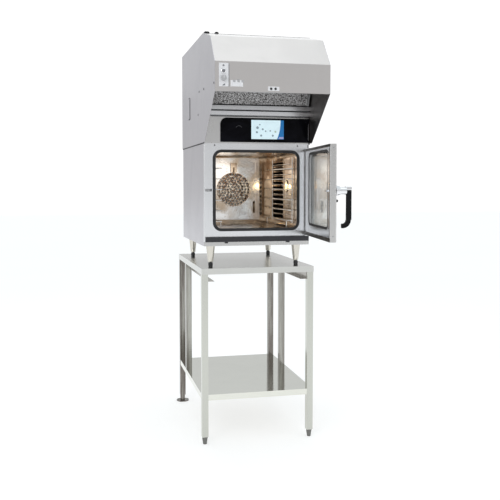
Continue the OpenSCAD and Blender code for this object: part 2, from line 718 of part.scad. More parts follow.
module hood_labels() color("white") place() {
    difference() {
        box(plate_x, [plate_y - 2, plate_y], [lip_z + 22, lip_z + 128]);
        knob_holes();
    }
    box([-204, -146], [plate_y - 1.5, plate_y], [lip_z + 23, lip_z + 51]);
    box([-27, 27], [plate_y - 1.5, plate_y], [lip_z + 8, lip_z + 27]);
}

module hood_button() color("dimgray") place() rod_y(knob_x, plate_y - 7, plate_y + 12, button_z, 7.2);

module hood_dial() color("dimgray") place() {
    rod_y(knob_x, plate_y - 14, plate_y - 2.3, dial_z, 13);
    rod_y(knob_x, plate_y - 2.3, plate_y + 12, dial_z, 3);
}

stand_posts();
stand_top();
stand_shelf();
tray_runners();
levelling_feet();
flanged_feet();
oven_legs();
oven_leg_tips();
base_pan();
side_panels();
front_frame();
rear_cover();
upper_casing();
insulation();
cavity_liner();
door_gasket();
fan_baffle();
fan_guard();
fan_wheel();
fan_shaft();
fan_motor();
ring_heater();
water_injector();
side_air_panel();
rack_left();
rack_right();
cavity_lamp();
drain_pipe();
control_fascia();
control_glass();
touch_display();
control_board();
drip_tray();
panel_screws();
latch_strike();
hinge_brackets();
water_inlet();
cable_gland();
door_shell();
door_inner_frame();
door_glass_seal();
door_inner_glass();
door_outer_glass();
handle_flange();
handle_neck();
handle_grip();
latch_hook();
hood_sides();
hood_canopy();
hood_roof();
hood_floor();
grease_gutter();
filter_frame();
filter_mesh();
exhaust_wheel();
exhaust_motor();
exhaust_housing();
hood_labels();
hood_button();
hood_dial();
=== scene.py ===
import json
import math

import bpy
from mathutils import Matrix, Vector


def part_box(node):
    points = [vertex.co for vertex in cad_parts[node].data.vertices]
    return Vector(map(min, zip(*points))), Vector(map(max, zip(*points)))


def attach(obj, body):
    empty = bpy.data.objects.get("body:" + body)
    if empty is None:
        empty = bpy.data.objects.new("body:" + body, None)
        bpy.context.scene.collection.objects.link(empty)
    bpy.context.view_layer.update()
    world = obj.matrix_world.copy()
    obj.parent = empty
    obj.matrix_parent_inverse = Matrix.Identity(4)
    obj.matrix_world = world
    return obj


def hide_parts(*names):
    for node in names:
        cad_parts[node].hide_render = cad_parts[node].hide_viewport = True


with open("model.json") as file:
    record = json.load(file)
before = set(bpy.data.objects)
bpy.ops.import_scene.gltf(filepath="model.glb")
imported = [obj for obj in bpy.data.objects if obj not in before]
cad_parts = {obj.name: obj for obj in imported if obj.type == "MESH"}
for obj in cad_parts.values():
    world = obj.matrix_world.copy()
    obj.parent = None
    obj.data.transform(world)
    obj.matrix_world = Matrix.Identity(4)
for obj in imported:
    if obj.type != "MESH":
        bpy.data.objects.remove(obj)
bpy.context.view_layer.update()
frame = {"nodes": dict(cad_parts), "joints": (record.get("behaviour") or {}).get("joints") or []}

MM = 0.001
NODES = frame["nodes"]

# A Mix node's colour sockets go by number, because their names repeat for each kind of data
MIX_FIRST, MIX_SECOND, MIX_RESULT = 6, 7, 2

# The door: how far it stands open, and its edges and inner face from its hinge pins when shut
DOOR_OPEN = math.radians(84.4)
DOOR_REACH = 528 * MM
DOOR_HEEL = 12 * MM
DOOR_FACE = 9 * MM

# The service cover stands this far out of the hood's left side
COVER_RISE = 3 * MM

RACK_LEVELS = 6
AIR_SLOTS = 12


# ---- places worked out from the frame ----

def low(node):
    return Vector(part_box(node)[0])


def high(node):
    return Vector(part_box(node)[1])


def middle(node):
    return (low(node) + high(node)) / 2


def joint(name):
    return next(j for j in frame["joints"] if j["name"] == name)


CENTRE = middle("hood_canopy").x


# ---- modelling helpers ----

def mm(*pairs):
    """A lathe profile given in millimetres."""
    return [(along * MM, radius * MM) for along, radius in pairs]


def start_clean():
    if bpy.context.object and bpy.context.object.mode != "OBJECT":
        bpy.ops.object.mode_set(mode="OBJECT")
    bpy.ops.object.select_all(action="DESELECT")


def block(name, a, b):
    """A block between two corners, its place in its mesh."""
    start_clean()
    a, b = Vector(a), Vector(b)
    bpy.ops.mesh.primitive_cube_add(size=1, location=(a + b) / 2, scale=b - a)
    obj = bpy.context.object
    obj.name = name
    bpy.ops.object.transform_apply(location=True, rotation=True, scale=True)
    return obj


def turned(name, centre, axis, profile, steps=32):
    """A lathe piece: profile holds (distance along the axis, radius) pairs, and closes on the axis."""
    start_clean()
    axis = Vector(axis).normalized()
    side = axis.orthogonal().normalized()
    points = [Vector(centre) + axis * d + side * r for d, r in profile]
    mesh = bpy.data.meshes.new(name)
    mesh.from_pydata(points, [(i, i + 1) for i in range(len(points) - 1)], [])
    obj = bpy.data.objects.new(name, mesh)
    bpy.context.collection.objects.link(obj)
    obj.select_set(True)
    bpy.context.view_layer.objects.active = obj
    bpy.ops.object.mode_set(mode="EDIT")
    bpy.ops.mesh.select_all(action="SELECT")
    bpy.ops.mesh.spin(steps=steps, angle=2 * math.pi, center=centre, axis=axis)
    bpy.ops.mesh.select_all(action="SELECT")
    bpy.ops.mesh.remove_doubles(threshold=0.00001)
    bpy.ops.mesh.normals_make_consistent(inside=False)
    bpy.ops.object.mode_set(mode="OBJECT")
    return obj


def pick_faces(obj, wanted):
    """Goes into edit mode with only the wanted faces selected."""
    start_clean()
    obj.select_set(True)
    bpy.context.view_layer.objects.active = obj
    bpy.ops.object.mode_set(mode="EDIT")
    bpy.ops.mesh.select_mode(type="FACE")
    bpy.ops.mesh.select_all(action="DESELECT")
    bpy.ops.object.mode_set(mode="OBJECT")
    for face in obj.data.polygons:
        face.select = wanted(face)
    bpy.ops.object.mode_set(mode="EDIT")


def facing(direction, limit=0.9):
    direction = Vector(direction).normalized()
    return lambda face: face.normal.dot(direction) > limit


def recess(obj, direction, rim, depth):
    """Insets the face that looks one way and pushes it in, or out where the depth is negative."""
    pick_faces(obj, facing(direction))
    bpy.ops.mesh.inset(thickness=rim, depth=0)
    bpy.ops.mesh.extrude_region_move(TRANSFORM_OT_translate={"value": -Vector(direction) * depth})
    bpy.ops.object.mode_set(mode="OBJECT")


def joined(name, parts):
    start_clean()
    for part in parts:
        part.select_set(True)
    bpy.context.view_layer.objects.active = parts[0]
    if len(parts) > 1:
        bpy.ops.object.join()
    parts[0].name = name
    return parts[0]


def soften(obj, width, segments=2):
    start_clean()
    obj.select_set(True)
    bpy.context.view_layer.objects.active = obj
    mod = obj.modifiers.new("edge", "BEVEL")
    mod.width = width
    mod.segments = segments
    mod.limit_method = "ANGLE"
    mod.angle_limit = math.radians(35)
    bpy.ops.object.modifier_apply(modifier=mod.name)


def done(obj, body, look, edge=0.0, angle=35):
    """Rounds the edges, sets the finish and fixes the piece to its body."""
    if edge:
        soften(obj, edge)
    start_clean()
    obj.select_set(True)
    bpy.context.view_layer.objects.active = obj
    bpy.ops.object.shade_smooth_by_angle(angle=math.radians(angle))
    obj.data.materials.clear()
    obj.data.materials.append(look)
    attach(obj, body)
    return obj


# ---- shared effects ----

def group(name, inputs, outputs):
    tree = bpy.data.node_groups.new(name, "ShaderNodeTree")
    for label, kind, value in inputs:
        socket = tree.interface.new_socket(name=label, in_out="INPUT", socket_type=kind)
        if value is not None:
            socket.default_value = value
    for label, kind in outputs:
        tree.interface.new_socket(name=label, in_out="OUTPUT", socket_type=kind)
    return tree, tree.nodes.new("NodeGroupInput"), tree.nodes.new("NodeGroupOutput")


def node(tree, kind, **settings):
    made = tree.nodes.new(kind)
    for key, value in settings.items():
        setattr(made, key, value)
    return made


def noise(tree, place, scale, detail, roughness=0.5, distortion=0.0):
    made = node(tree, "ShaderNodeTexNoise")
    made.inputs["Scale"].default_value = scale
    made.inputs["Detail"].default_value = detail
    made.inputs["Roughness"].default_value = roughness
    made.inputs["Distortion"].default_value = distortion
    tree.links.new(place, made.inputs["Vector"])
    return made


def ranged(tree, value, start, end, first=0.0, last=1.0, **settings):
    """A value spread out so that start and end become first and last."""
    made = node(tree, "ShaderNodeMapRange", **settings)
    made.inputs["From Min"].default_value = start
    made.inputs["From Max"].default_value = end
    made.inputs["To Min"].default_value = first
    made.inputs["To Max"].default_value = last
    tree.links.new(value, made.inputs["Value"])
    return made.outputs["Result"]


def grain_group():
    """Brushing lines: noise drawn out along the grain."""
    tree, given, result = group(
        "brushing",
        [("Vector", "NodeSocketVector", None), ("Stretch", "NodeSocketVector", (400, 400, 6))],
        [("Height", "NodeSocketFloat"), ("Streak", "NodeSocketFloat")],
    )
    scale = node(tree, "ShaderNodeVectorMath", operation="MULTIPLY")
    tree.links.new(given.outputs["Vector"], scale.inputs[0])
    tree.links.new(given.outputs["Stretch"], scale.inputs[1])
    fine = noise(tree, scale.outputs[0], 1, 3, roughness=0.7)
    broad = noise(tree, scale.outputs[0], 0.12, 2)
    tree.links.new(fine.outputs["Fac"], result.inputs["Height"])
    tree.links.new(broad.outputs["Fac"], result.inputs["Streak"])
    return tree


def smudge_group():
    """Wiped patches and finger marks, from 0 on clean steel to 1 on a smear."""
    tree, given, result = group(
        "handling",
        [("Vector", "NodeSocketVector", None), ("Scale", "NodeSocketFloat", 5.0)],
        [("Smudge", "NodeSocketFloat"), ("Speck", "NodeSocketFloat")],
    )
    cloud = noise(tree, given.outputs["Vector"], 5, 5, roughness=0.6, distortion=0.8)
    tree.links.new(given.outputs["Scale"], cloud.inputs["Scale"])
    even = ranged(tree, cloud.outputs["Fac"], 0.38, 0.68, interpolation_type="SMOOTHSTEP")
    dots = noise(tree, given.outputs["Vector"], 180, 1)
    tree.links.new(even, result.inputs["Smudge"])
    tree.links.new(ranged(tree, dots.outputs["Fac"], 0.66, 0.74), result.inputs["Speck"])
    return tree


def worn_edge_group():
    """Bright worn edges, where the rounded normal leaves the flat one."""
    tree, given, result = group(
        "edge_wear",
        [("Radius", "NodeSocketFloat", 0.002)],
        [("Wear", "NodeSocketFloat")],
    )
    rounded = node(tree, "ShaderNodeBevel", samples=4)
    flat = node(tree, "ShaderNodeNewGeometry")
    dot = node(tree, "ShaderNodeVectorMath", operation="DOT_PRODUCT")
    tree.links.new(given.outputs["Radius"], rounded.inputs["Radius"])
    tree.links.new(rounded.outputs["Normal"], dot.inputs[0])
    tree.links.new(flat.outputs["Normal"], dot.inputs[1])
    tree.links.new(ranged(tree, dot.outputs["Value"], 1.0, 0.85), result.inputs["Wear"])
    return tree


GRAIN = grain_group()
SMUDGE = smudge_group()
WEAR = worn_edge_group()


# ---- finishes ----

class Finish:
    """One material: a Principled shader with its place and effect nodes."""

    def __init__(self, name):
        self.look = bpy.data.materials.new(name)
        self.look.use_nodes = True
        self.tree = self.look.node_tree
        self.shader = self.tree.nodes["Principled BSDF"]
        self.place = self.tree.nodes.new("ShaderNodeTexCoord").outputs["Object"]

    def node(self, kind, **settings):
        return node(self.tree, kind, **settings)

    def effect(self, tree, **values):
        made = self.tree.nodes.new("ShaderNodeGroup")
        made.node_tree = tree
        for key, value in values.items():
            made.inputs[key].default_value = value
        if "Vector" in made.inputs:
            self.link(self.place, made.inputs["Vector"])
        return made

    def link(self, a, b):
        self.tree.links.new(a, b)

    def set(self, **values):
        for key, value in values.items():
            self.shader.inputs[key.replace("_", " ")].default_value = value

    def ranged(self, value, start, end, first=0.0, last=1.0):
        return ranged(self.tree, value, start, end, first, last)

    def noise(self, scale, detail, roughness=0.5):
        return noise(self.tree, self.place, scale, detail, roughness)

    def blend(self, mask, first, second):
        """A colour going from first to second with a mask; each is given plainly or comes from a node."""
        mix = self.node("ShaderNodeMix", data_type="RGBA")
        for value, socket in ((first, mix.inputs[MIX_FIRST]), (second, mix.inputs[MIX_SECOND])):
            if isinstance(value, bpy.types.NodeSocket):
                self.link(value, socket)
            else:
                socket.default_value = (*value, 1)
        if isinstance(mask, bpy.types.NodeSocket):
            self.link(mask, mix.inputs["Factor"])
        else:
            mix.inputs["Factor"].default_value = mask
        return mix.outputs[MIX_RESULT]

    def colour(self, mask, first, second):
        self.link(self.blend(mask, first, second), self.shader.inputs["Base Color"])

    def rough(self, mask, first, second):
        self.link(self.ranged(mask, 0, 1, first, second), self.shader.inputs["Roughness"])

    def bump(self, height, strength, distance):
        raised = self.node("ShaderNodeBump")
        raised.inputs["Strength"].default_value = strength
        raised.inputs["Distance"].default_value = distance
        self.link(height, raised.inputs["Height"])
        self.link(raised.outputs["Normal"], self.shader.inputs["Normal"])


# Grain that runs up and down, from side to side, and from front to back
UP_GRAIN = (420, 420, 9)
LONG_GRAIN = (9, 420, 420)
DEEP_GRAIN = (420, 9, 420)


def shade(colour, amount):
    return [c * amount for c in colour]


def steel(name, colour, rough=0.3, grain=UP_GRAIN, smear=0.03, depth=0.08):
    """Brushed stainless sheet: grain lines, wiped patches that are a little duller and darker."""
    f = Finish(name)
    lines = f.effect(GRAIN, Stretch=grain)
    marks = f.effect(SMUDGE, Scale=4.0)
    f.colour(marks.outputs["Smudge"], colour, shade(colour, 1 - smear))
    both = f.node("ShaderNodeMath", operation="MULTIPLY_ADD")
    both.inputs[1].default_value = 0.5
    f.link(lines.outputs["Streak"], both.inputs[0])
    half = f.node("ShaderNodeMath", operation="MULTIPLY")
    half.inputs[1].default_value = 0.5
    f.link(marks.outputs["Smudge"], half.inputs[0])
    f.link(half.outputs[0], both.inputs[2])
    f.rough(both.outputs[0], rough * 0.9, rough * 1.12)
    f.set(Metallic=1.0)
    f.bump(lines.outputs["Height"], depth, 0.0002)
    return f.look


def tube_steel():
    """Square tube: pale at the front of the stand, darkened and browned towards the back by painted
    shade, in long streaks.
    """
    f = Finish("tube_steel")
    lines = f.effect(GRAIN, Stretch=UP_GRAIN)
    parts = f.node("ShaderNodeSeparateXYZ")
    f.link(f.place, parts.inputs[0])
    tube = 50 * MM
    depth = f.ranged(parts.outputs["Y"], low("stand_posts").y + tube, high("stand_posts").y - tube)
    drift = f.effect(GRAIN, Stretch=(60, 60, 2.6))
    streak = f.ranged(drift.outputs["Height"], 0.36, 0.6, 0.55, 1.15)
    # painted shade: this mask darkens the tube from front to back, broken into long streaks
    painted_back_shade = f.node("ShaderNodeMath", operation="MULTIPLY", use_clamp=True)
    f.link(depth, painted_back_shade.inputs[0])
    f.link(streak, painted_back_shade.inputs[1])
    f.colour(painted_back_shade.outputs[0], (0.58, 0.585, 0.54), (0.19, 0.17, 0.155))
    f.rough(lines.outputs["Streak"], 0.16, 0.24)
    f.set(Metallic=1.0)
    f.bump(lines.outputs["Height"], 0.08, 0.0002)
    return f.look


def heat_tinted(name, colour, rough, tint):
    """Cavity steel: straw and brown heat colours in drifting patches, dried water spots."""
    f = Finish(name)
    lines = f.effect(GRAIN, Stretch=(260, 260, 14))
    marks = f.effect(SMUDGE, Scale=7.0)
    patches = f.blend(marks.outputs["Smudge"], colour, tint)
    f.colour(marks.outputs["Speck"], patches, shade(tint, 0.6))
    f.rough(marks.outputs["Smudge"], rough, rough + 0.14)
    f.set(Metallic=1.0)
    f.bump(lines.outputs["Height"], 0.15, 0.0003)
    return f.look


def scorched(name, pale, brown):
    """Guard sheet: pale metal broken up by small baked-on brown and grey spots."""
    f = Finish(name)
    marks = f.effect(SMUDGE, Scale=16.0)
    spots = f.noise(92, 4, roughness=0.7)
    sharp = f.ranged(spots.outputs["Fac"], 0.42, 0.58)
    speckled = f.blend(sharp, pale, brown)
    rust = (brown[0] * 1.6, brown[1] * 1.1, brown[2] * 0.8)
    rusty = f.blend(marks.outputs["Smudge"], speckled, rust)
    f.colour(0.45, speckled, rusty)
    f.rough(sharp, 0.34, 0.55)
    f.set(Metallic=0.85)
    f.bump(spots.outputs["Fac"], 0.15, 0.0005)
    return f.look


def moulded(name, colour, rough, pebble=0.2, specular=0.5):
    """Moulded plastic or powder coat with a fine pebbled skin and paler rubbed edges."""
    f = Finish(name)
    wear = f.effect(WEAR, Radius=0.0015)
    marks = f.effect(SMUDGE, Scale=14.0)
    f.colour(wear.outputs["Wear"], colour, [min(1, c * 1.5 + 0.03) for c in colour])
    f.rough(marks.outputs["Smudge"], rough, min(1, rough + 0.12))
    skin = f.node("ShaderNodeTexVoronoi")
    skin.inputs["Scale"].default_value = 900
    f.link(f.place, skin.inputs["Vector"])
    f.bump(skin.outputs["Distance"], pebble, 0.0003)
    f.set(Specular_IOR_Level=specular)
    return f.look


def rubber(name, colour):
    f = Finish(name)
    marks = f.effect(SMUDGE, Scale=20.0)
    f.colour(marks.outputs["Smudge"], colour, [c * 1.8 + 0.01 for c in colour])
    f.rough(marks.outputs["Smudge"], 0.5, 0.68)
    f.bump(marks.outputs["Speck"], 0.2, 0.0002)
    return f.look


def polished(name, colour, rough=0.08):
    f = Finish(name)
    marks = f.effect(SMUDGE, Scale=16.0)
    f.colour(marks.outputs["Smudge"], colour, shade(colour, 0.93))
    f.rough(marks.outputs["Smudge"], rough, rough + 0.1)
    f.set(Metallic=1.0)
    return f.look


def pane(name, colour, rough):
    f = Finish(name)
    marks = f.effect(SMUDGE, Scale=6.0)
    f.colour(marks.outputs["Smudge"], colour, shade(colour, 0.97))
    f.rough(marks.outputs["Smudge"], rough, rough + 0.06)
    f.set(Transmission_Weight=1.0, IOR=1.45)
    return f.look


def black_pane(name):
    f = Finish(name)
    marks = f.effect(SMUDGE, Scale=9.0)
    f.colour(marks.outputs["Smudge"], (0.002, 0.002, 0.003), (0.006, 0.006, 0.009))
    f.rough(marks.outputs["Smudge"], 0.05, 0.14)
    f.set(Specular_IOR_Level=0.05)
    return f.look


def lit(name, colour, strength):
    f = Finish(name)
    marks = f.effect(SMUDGE, Scale=30.0)
    f.colour(marks.outputs["Smudge"], shade(colour, 0.2), shade(colour, 0.18))
    glowing = f.blend(marks.outputs["Smudge"], colour, shade(colour, 0.94))
    f.link(glowing, f.shader.inputs["Emission Color"])
    f.set(Emission_Strength=strength, Roughness=0.3, Specular_IOR_Level=0.2)
    return f.look


def knitted(name):
    """Knitted wire: bright wires over dark holes, loops a few millimetres across."""
    f = Finish(name)
    wires = f.node("ShaderNodeTexVoronoi", feature="DISTANCE_TO_EDGE")
    wires.inputs["Scale"].default_value = 300
    f.link(f.place, wires.inputs["Vector"])
    blur = f.noise(190, 3)
    dark = f.node("ShaderNodeMath", operation="MAXIMUM")
    f.link(f.ranged(wires.outputs["Distance"], 0.05, 0.34), dark.inputs[0])
    f.link(f.ranged(blur.outputs["Fac"], 0.4, 0.62), dark.inputs[1])
    f.colour(dark.outputs[0], (0.66, 0.65, 0.65), (0.08, 0.07, 0.07))
    f.rough(dark.outputs[0], 0.3, 0.8)
    f.set(Metallic=0.8)
    f.bump(wires.outputs["Distance"], 0.8, 0.002)
    return f.look


def fibrous(name, colour):
    f = Finish(name)
    strands = f.effect(GRAIN, Stretch=(180, 60, 400))
    f.colour(strands.outputs["Streak"], colour, shade(colour, 0.7))
    f.rough(strands.outputs["Height"], 0.85, 1.0)
    f.bump(strands.outputs["Height"], 0.8, 0.002)
    return f.look


def circuit(name):
    f = Finish(name)
    tracks = f.node("ShaderNodeTexBrick")
    tracks.inputs["Scale"].default_value = 60
    f.link(f.place, tracks.inputs["Vector"])
    f.colour(tracks.outputs["Fac"], (0.02, 0.14, 0.07), (0.05, 0.3, 0.14))
    f.set(Roughness=0.4)
    f.bump(tracks.outputs["Fac"], 0.3, 0.0003)
    return f.look


SHEET = steel("sheet_steel", (0.60, 0.595, 0.59), 0.28)
SHEET_FLAT = steel("table_steel", (0.64, 0.64, 0.615), 0.2, LONG_GRAIN)
SHELF = steel("shelf_steel", (0.76, 0.76, 0.70), 0.08, LONG_GRAIN)
HOOD_FRONT = steel("hood_front_steel", (0.62, 0.595, 0.585), 0.3, UP_GRAIN)
SIDE = steel("side_steel", (0.60, 0.59, 0.62), 0.36, DEEP_GRAIN)
BRIGHT = steel("bright_steel", (0.80, 0.81, 0.83), 0.24)
TUBE = tube_steel()
LEG = steel("leg_steel", (0.66, 0.63, 0.57), 0.18)
RUNNER = steel("runner_steel", (0.42, 0.40, 0.37), 0.25, LONG_GRAIN)
GALVANISED = steel("galvanised_steel", (0.40, 0.405, 0.41), 0.42, (60, 60, 60), 0.25)
CAVITY = heat_tinted("cavity_steel", (0.66, 0.55, 0.43), 0.09, (0.34, 0.22, 0.13))
BAFFLE = heat_tinted("baffle_steel", (0.92, 0.91, 0.90), 0.12, (0.62, 0.50, 0.38))
GUARD = scorched("guard_steel", (0.96, 0.87, 0.74), (0.22, 0.14, 0.09))
CHROME = polished("rack_chrome", (0.80, 0.78, 0.76))
HANDLE_CHROME = polished("handle_chrome", (0.86, 0.86, 0.88), 0.1)
# painted shade: the hood sides' inward faces, the same steel as outside, made near black for the shade
# inside the hood
SHADED_CHEEK = polished("hood_inner_painted_shade", (0.17, 0.155, 0.15), 0.4)
CAST = steel("cast_aluminium", (0.66, 0.66, 0.66), 0.45, (90, 90, 90), 0.15, 0.4)
TURNED_STEEL = polished("turned_steel", (0.45, 0.45, 0.46), 0.25)
HEATER = heat_tinted("heater_sheath", (0.30, 0.20, 0.15), 0.5, (0.18, 0.11, 0.08))
DARK_SCREW = polished("screw_steel", (0.16, 0.16, 0.165), 0.3)
# painted shade: dark strips standing in for the shade round the door's inner face and at the frame's
# hinge edge
RIM_SHADE = polished("rim_painted_shade", (0.065, 0.056, 0.048), 0.4)
BRASS = polished("turned_brass", (0.72, 0.52, 0.22), 0.25)
BLACK = moulded("black_plastic", (0.004, 0.004, 0.005), 0.5, specular=0.15)
TRAY_BLACK = moulded("tray_enamel", (0.018, 0.018, 0.022), 0.45, 0.1)
FOOT_GREY = moulded("foot_plastic", (0.03, 0.03, 0.032), 0.5)
STAND_FOOT = moulded("stand_foot_plastic", (0.15, 0.15, 0.14), 0.42)
START_GREY = moulded("start_mark_print", (0.035, 0.035, 0.04), 0.6, 0.05)
DIAL_GREY = moulded("dial_plastic", (0.36, 0.36, 0.37), 0.45)
KNOB_GREY = moulded("knob_plastic", (0.16, 0.16, 0.175), 0.45)
LABEL = moulded("label_plate", (0.66, 0.66, 0.68), 0.35, 0.05)
MOTOR = moulded("motor_enamel", (0.06, 0.09, 0.14), 0.4)
GASKET = rubber("silicone_gasket", (0.008, 0.008, 0.009))
DOOR_PANE = pane("door_pane", (0.975, 0.995, 0.99), 0.03)
# painted shade: a near black finish for the plates behind the air slots, standing in for the shade in
# them
SLOT_SHADE = moulded("slot_painted_shade", (0.0015, 0.0012, 0.001), 0.8, 0.05, 0.02)
BLACK_PANE = black_pane("black_pane")
LAMP = lit("lamp_glow", (1.0, 0.86, 0.52), 1.0)
SCREEN = lit("screen_white", (0.74, 0.93, 1.0), 0.80)
SCREEN_BLUE = lit("screen_blue", (0.03, 0.24, 0.62), 0.55)
SCREEN_LILAC = lit("screen_lilac", (0.50, 0.52, 0.86), 0.5)
SCREEN_INK = lit("screen_ink", (0.36, 0.47, 0.54), 0.5)
SCREEN_GREEN = lit("screen_green", (0.62, 0.80, 0.66), 0.5)
KNIT = knitted("knitted_filter")
WOOL = fibrous("mineral_wool", (0.62, 0.56, 0.36))
CIRCUIT = circuit("circuit_board")

LOOKS = {
    TUBE: ("stand_posts", "flanged_feet"),
    SHEET_FLAT: ("stand_top",),
    SHELF: ("stand_shelf",),
    RUNNER: ("tray_runners",),
    LEG: ("oven_legs",),
    SHEET: ("base_pan", "upper_casing", "control_fascia", "door_shell", "hood_roof"),
    SIDE: ("side_panels", "hood_sides"),
    HOOD_FRONT: ("hood_canopy",),
    BRIGHT: ("front_frame", "drain_pipe", "hinge_brackets", "door_inner_frame", "grease_gutter"),
    GALVANISED: ("filter_frame", "rear_cover", "hood_floor", "exhaust_wheel", "exhaust_housing"),
    CAVITY: ("cavity_liner", "water_injector", "side_air_panel"),
    BAFFLE: ("fan_baffle",),
    GUARD: ("fan_guard",),
    CHROME: ("rack_left", "rack_right"),
    HANDLE_CHROME: ("handle_flange", "handle_neck"),
    CAST: ("fan_wheel",),
    TURNED_STEEL: ("fan_shaft", "latch_strike", "latch_hook", "panel_screws"),
    HEATER: ("ring_heater",),
    BRASS: ("water_inlet",),
    BLACK: ("handle_grip", "cable_gland"),
    TRAY_BLACK: ("drip_tray",),
    FOOT_GREY: ("levelling_feet", "oven_leg_tips"),
    KNOB_GREY: ("hood_button",),
    DIAL_GREY: ("hood_dial",),
    LABEL: ("hood_labels",),
    MOTOR: ("fan_motor", "exhaust_motor"),
    GASKET: ("door_gasket", "door_glass_seal"),
    DOOR_PANE: ("door_inner_glass", "door_outer_glass"),
    BLACK_PANE: ("control_glass",),
    LAMP: ("cavity_lamp",),
    SCREEN: ("touch_display",),
    KNIT: ("filter_mesh",),
    WOOL: ("insulation",),
    CIRCUIT: ("control_board",),
}


def finish_nodes():
    for look, names in LOOKS.items():
        for name in names:
            for place in NODES[name].material_slots:
                place.material = look


finish_nodes()


# ---- touch display: lit page with round icons and a curved side strip ----

def disc(name, centre, radius, thick):
    """A flat round badge with a rounded front edge, facing the cook."""
    return turned(name, centre, (0, -1, 0), [
        (0, 0), (0, radius), (thick * 0.6, radius), (thick, radius * 0.85), (thick, 0),
    ], 20)


def display_page():
    a, b = low("touch_display"), high("touch_display")
    wide, tall = b.x - a.x, b.z - a.z
    face = a.y
    rise = 0.4 * MM
    # across and up the page, and radius, as parts of its width and height
    spots = [(0.26, 0.76, 0.022), (0.19, 0.60, 0.040), (0.17, 0.36, 0.032), (0.35, 0.52, 0.030),
             (0.44, 0.42, 0.024), (0.58, 0.44, 0.024), (0.30, 0.19, 0.030), (0.66, 0.19, 0.030)]
    icons = [disc("icon", (a.x + u * wide, face, a.z + v * tall), r * wide, rise) for u, v, r in spots]
    done(joined("display_icons", icons), "carcase", SCREEN_INK)
    green = disc("icon", (a.x + 0.74 * wide, face, a.z + 0.40 * tall), 0.03 * wide, rise)
    done(joined("display_green_icon", [green]), "carcase", SCREEN_GREEN)
    curve = [(0.90 - 0.11 * (i / 12) ** 2.2, 1 - i / 12) for i in range(13)]
    outline = [(a.x + u * wide, a.z + v * tall) for u, v in curve] + [(b.x, a.z), (b.x, b.z)]
    strip = plate("display_side_strip", outline, face - rise, face)
    done(strip, "carcase", SCREEN_BLUE, 0.1 * MM)
    foot = plate("display_strip_foot", [
        (a.x + 0.83 * wide, a.z + 0.02 * tall), (b.x - 0.01 * wide, a.z + 0.02 * tall),
        (b.x - 0.01 * wide, a.z + 0.13 * tall), (a.x + 0.86 * wide, a.z + 0.12 * tall),
    ], face - 0.6 * MM, face - rise)
    done(foot, "carcase", SCREEN_LILAC, 0.05 * MM)


def plate(name, outline, front, back):
    """A flat plate in x and z between two depths, extruded from one face."""
    start_clean()
    mesh = bpy.data.meshes.new(name)
    mesh.from_pydata([(x, front, z) for x, z in outline], [], [list(range(len(outline)))])
    obj = bpy.data.objects.new(name, mesh)
    bpy.context.collection.objects.link(obj)
    obj.select_set(True)
    bpy.context.view_layer.objects.active = obj
    bpy.ops.object.mode_set(mode="EDIT")
    bpy.ops.mesh.select_all(action="SELECT")
    bpy.ops.mesh.extrude_region_move(TRANSFORM_OT_translate={"value": (0, back - front, 0)})
    bpy.ops.mesh.select_all(action="SELECT")
    bpy.ops.mesh.normals_make_consistent(inside=False)
    bpy.ops.object.mode_set(mode="OBJECT")
    return obj


display_page()


# ---- black control glass: steel end trim and a faint round start mark ----

def glass_trim():
    a, b = low("control_glass"), high("control_glass")
    bar = block("glass_end_trim", (b.x - 3.5 * MM, a.y - 0.8 * MM, a.z + 12 * MM),
                (b.x - 1.5 * MM, a.y, b.z - 26 * MM))
    done(bar, "carcase", GALVANISED, 0.4 * MM)
    centre = Vector((a.x + 95 * MM, 0, (a.z + b.z) / 2 + 4 * MM))
    sweep = range(25, 156, 10)
    outline = []
    for radius, turns in ((18 * MM, sweep), (15.5 * MM, reversed(sweep))):
        for angle in turns:
            away = math.radians(angle)
            outline.append((centre.x + radius * math.cos(away), centre.z + radius * math.sin(away)))
    mark = plate("start_mark", outline, a.y - 0.3 * MM, a.y)
    done(mark, "carcase", START_GREY)


glass_trim()


# ---- hood front: collar and marks on the label plate, blank plaques ----

def hood_marks():
    plate_low, button, dial = low("hood_labels"), middle("hood_button"), middle("hood_dial")
    front = plate_low.y - 2 * MM
    collar = turned("button_collar", (button.x, front, button.z), (0, -1, 0), mm(
        (0, 8), (0, 11), (1, 11), (2, 9.5), (2, 8), (0, 8),
    ))
    done(collar, "carcase", HANDLE_CHROME)
    drop = turned("lamp_mark", (button.x, plate_low.y, button.z + 25 * MM), (0, -1, 0), mm(
        (0, 0), (0, 4.5), (1.2, 4), (2, 2.4), (2.2, 0),
    ), 24)
    done(drop, "carcase", KNOB_GREY)
    wedge_z = dial.z - 29 * MM
    wedge = plate("level_mark", [
        (button.x - 7 * MM, wedge_z - 5 * MM), (button.x + 7 * MM, wedge_z - 5 * MM),
        (button.x + 7 * MM, wedge_z + 5 * MM),
    ], plate_low.y - 0.6 * MM, plate_low.y)
    done(wedge, "carcase", KNOB_GREY, 0.2 * MM)
    face = low("hood_dial").y
    pointer = block("dial_pointer", (dial.x - 1 * MM, face - 0.8 * MM, dial.z - 1 * MM),
                    (dial.x + 1 * MM, face + 1 * MM, dial.z + 12 * MM))
    done(pointer, "dial", LABEL, 0.4 * MM)
    bar = block("plate_edge", (high("hood_button").x + 17 * MM, plate_low.y, plate_low.z + 14 * MM),
                (high("hood_button").x + 20 * MM, plate_low.y + 2 * MM, high("hood_labels").z))
    done(bar, "carcase", KNOB_GREY, 0.4 * MM)
    studs = []
    for shift in (-12, 9):
        place = (CENTRE + shift * MM, plate_low.y, plate_low.z + 9 * MM)
        studs.append(turned("stud", place, (0, -1, 0), mm(
            (0, 0), (0, 6), (0.8, 5.6), (1.2, 4.5), (1.2, 0),
        ), 24))
    done(joined("plaque_studs", studs), "carcase", FOOT_GREY)


hood_marks()


